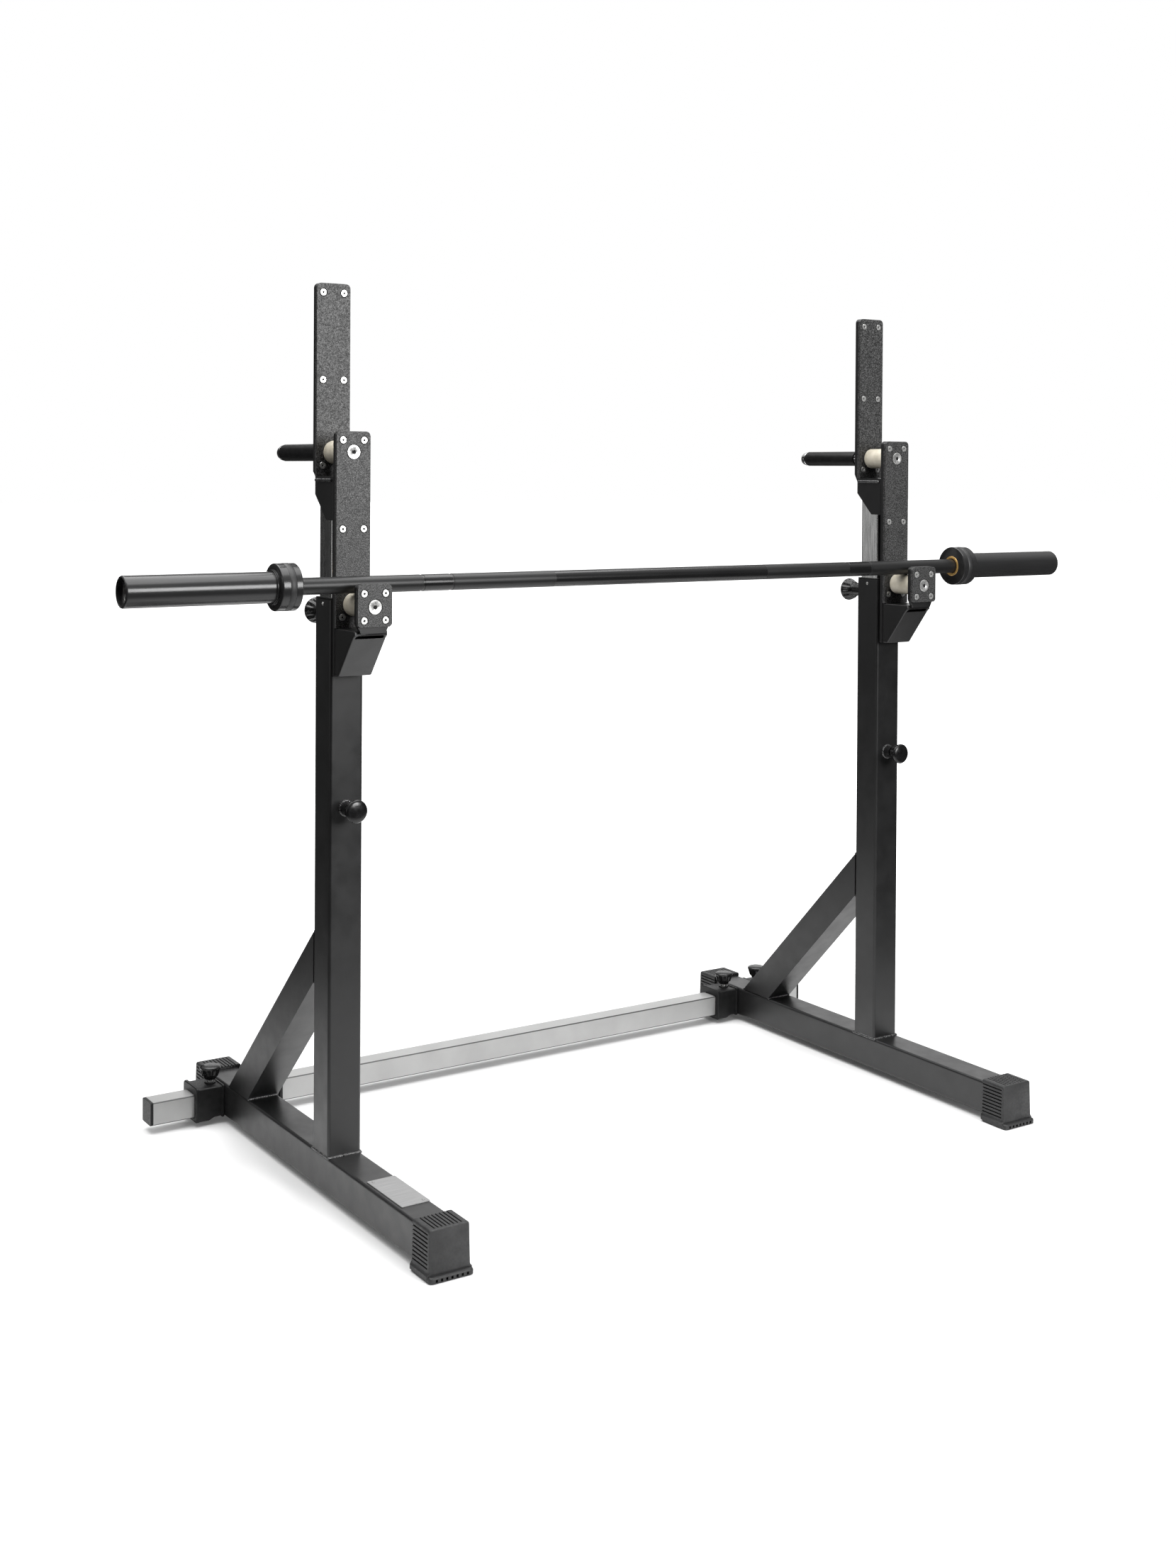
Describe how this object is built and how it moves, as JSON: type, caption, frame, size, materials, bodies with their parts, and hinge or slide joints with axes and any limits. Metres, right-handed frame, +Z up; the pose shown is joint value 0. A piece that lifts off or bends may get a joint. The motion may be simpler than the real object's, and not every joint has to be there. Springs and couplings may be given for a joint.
{
  "type": "squat rack with barbell",
  "caption": "Adjustable squat rack: telescoping uprights with roller hooks on braced feet joined by a crossbar, and a barbell in the lower hooks.",
  "frame": {"origin": "on the floor, at the middle of the object's footprint", "axes": "+X along the barbell and the crossbar, -Y the side the lifter steps in from, +Z up"},
  "size_m": [2, 0.948, 1.516],
  "materials": {
    "black_steel": "satin black powder coat",
    "silver_tube": "satin silver coat",
    "cap_rubber": "matte",
    "collar_plastic": "matte moulded",
    "knob_plastic": "gloss moulded",
    "liner_plastic": "speckled grain",
    "roller_nylon": "satin cream",
    "zinc_screw": "bright zinc",
    "chrome_rod": "polished",
    "bar_black": "satin black"
  },
  "bodies": {
    "left_stand": {"left_foot_tube": "black_steel", "left_upright_tube": "black_steel", "left_brace_tube": "black_steel", "left_front_foot_cap": "cap_rubber", "left_rear_foot_cap": "cap_rubber", "left_outer_collar": "collar_plastic", "left_inner_collar": "collar_plastic", "left_guide_bush": "collar_plastic"},
    "crossbar": {"crossbar_tube": "silver_tube", "left_crossbar_plug": "collar_plastic", "right_crossbar_plug": "collar_plastic"},
    "right_stand": {"right_foot_tube": "black_steel", "right_upright_tube": "black_steel", "right_brace_tube": "black_steel", "right_front_foot_cap": "cap_rubber", "right_rear_foot_cap": "cap_rubber", "right_outer_collar": "collar_plastic", "right_inner_collar": "collar_plastic", "right_guide_bush": "collar_plastic"},
    "left_head": {"left_inner_tube": "silver_tube", "left_upper_bracket": "black_steel", "left_back_plate": "black_steel", "left_back_liner": "liner_plastic", "left_upper_axle": "zinc_screw", "left_peg_rod": "chrome_rod", "left_peg_sleeve": "collar_plastic", "left_front_plate": "black_steel", "left_front_liner": "liner_plastic", "left_lower_bracket": "black_steel", "left_lip_plate": "black_steel", "left_lip_liner": "liner_plastic", "left_lower_axle": "zinc_screw"},
    "right_head": {"right_inner_tube": "silver_tube", "right_upper_bracket": "black_steel", "right_back_plate": "black_steel", "right_back_liner": "liner_plastic", "right_upper_axle": "zinc_screw", "right_peg_rod": "chrome_rod", "right_peg_sleeve": "collar_plastic", "right_front_plate": "black_steel", "right_front_liner": "liner_plastic", "right_lower_bracket": "black_steel", "right_lip_plate": "black_steel", "right_lip_liner": "liner_plastic", "right_lower_axle": "zinc_screw"},
    "barbell": {"barbell_shaft": "bar_black"},
    "left_barbell_sleeve": {"left_barbell_sleeve": "bar_black"},
    "right_barbell_sleeve": {"right_barbell_sleeve": "bar_black"},
    "left_upper_roller": {"left_upper_roller": "roller_nylon"},
    "left_lower_roller": {"left_lower_roller": "roller_nylon"},
    "left_lock_pin_knob": {"left_lock_pin_knob": "knob_plastic"},
    "left_height_clamp_knob": {"left_height_clamp_knob": "knob_plastic"},
    "left_outer_clamp_knob": {"left_outer_clamp_knob": "knob_plastic"},
    "left_inner_clamp_knob": {"left_inner_clamp_knob": "knob_plastic"},
    "right_upper_roller": {"right_upper_roller": "roller_nylon"},
    "right_lower_roller": {"right_lower_roller": "roller_nylon"},
    "right_lock_pin_knob": {"right_lock_pin_knob": "knob_plastic"},
    "right_height_clamp_knob": {"right_height_clamp_knob": "knob_plastic"},
    "right_outer_clamp_knob": {"right_outer_clamp_knob": "knob_plastic"},
    "right_inner_clamp_knob": {"right_inner_clamp_knob": "knob_plastic"}
  },
  "joints": [
    {"name": "crossbar_slide", "type": "slide", "parent": "left_stand", "child": "crossbar", "axis": [1, 0, 0], "range_m": [-0.1, 0.02]},
    {"name": "right_stand_slide", "type": "slide", "parent": "crossbar", "child": "right_stand", "axis": [1, 0, 0], "range_m": [-0.3, 0.05]},
    {"name": "left_head_lift", "type": "slide", "parent": "left_stand", "child": "left_head", "axis": [0, 0, 1], "range_m": [0, 0.45]},
    {"name": "right_head_lift", "type": "slide", "parent": "right_stand", "child": "right_head", "axis": [0, 0, 1], "range_m": [0, 0.45]},
    {"name": "barbell_lift", "type": "slide", "parent": "left_head", "child": "barbell", "axis": [0, 0, 1], "range_m": [0, 0.15]},
    {"name": "left_sleeve_turn", "type": "hinge", "parent": "barbell", "child": "left_barbell_sleeve", "pos_m": [-0.85, -0.16255, 1.0188], "axis": [1, 0, 0], "continuous": true},
    {"name": "right_sleeve_turn", "type": "hinge", "parent": "barbell", "child": "right_barbell_sleeve", "pos_m": [0.85, -0.16255, 1.0188], "axis": [1, 0, 0], "continuous": true},
    {"name": "left_upper_roller_turn", "type": "hinge", "parent": "left_head", "child": "left_upper_roller", "pos_m": [-0.598, -0.078, 1.234], "axis": [0, 1, 0], "continuous": true},
    {"name": "left_lower_roller_turn", "type": "hinge", "parent": "left_head", "child": "left_lower_roller", "pos_m": [-0.598, -0.163, 0.985], "axis": [0, 1, 0], "continuous": true},
    {"name": "left_lock_pin_pull", "type": "slide", "parent": "left_stand", "child": "left_lock_pin_knob", "axis": [0, -1, 0], "range_m": [0, 0.012], "stiffness_N_per_m": 800, "springref_m": -0.01},
    {"name": "left_height_clamp_turn", "type": "hinge", "parent": "left_stand", "child": "left_height_clamp_knob", "pos_m": [-0.598, -0.008, 0.966], "axis": [0, 1, 0], "continuous": true},
    {"name": "left_outer_clamp_turn", "type": "hinge", "parent": "left_stand", "child": "left_outer_clamp_knob", "pos_m": [-0.644, 0.363, 0.08], "axis": [0, 0, 1], "continuous": true},
    {"name": "left_inner_clamp_turn", "type": "hinge", "parent": "left_stand", "child": "left_inner_clamp_knob", "pos_m": [-0.552, 0.363, 0.08], "axis": [0, 0, 1], "continuous": true},
    {"name": "right_upper_roller_turn", "type": "hinge", "parent": "right_head", "child": "right_upper_roller", "pos_m": [0.598, -0.078, 1.234], "axis": [0, 1, 0], "continuous": true},
    {"name": "right_lower_roller_turn", "type": "hinge", "parent": "right_head", "child": "right_lower_roller", "pos_m": [0.598, -0.163, 0.985], "axis": [0, 1, 0], "continuous": true},
    {"name": "right_lock_pin_pull", "type": "slide", "parent": "right_stand", "child": "right_lock_pin_knob", "axis": [0, -1, 0], "range_m": [0, 0.012], "stiffness_N_per_m": 800, "springref_m": -0.01},
    {"name": "right_height_clamp_turn", "type": "hinge", "parent": "right_stand", "child": "right_height_clamp_knob", "pos_m": [0.598, -0.008, 0.966], "axis": [0, 1, 0], "continuous": true},
    {"name": "right_outer_clamp_turn", "type": "hinge", "parent": "right_stand", "child": "right_outer_clamp_knob", "pos_m": [0.644, 0.363, 0.08], "axis": [0, 0, 1], "continuous": true},
    {"name": "right_inner_clamp_turn", "type": "hinge", "parent": "right_stand", "child": "right_inner_clamp_knob", "pos_m": [0.552, 0.363, 0.08], "axis": [0, 0, 1], "continuous": true}
  ],
  "couplings": [
    {"joint": "right_head_lift", "follows": "left_head_lift", "ratio": 1}
  ]
}
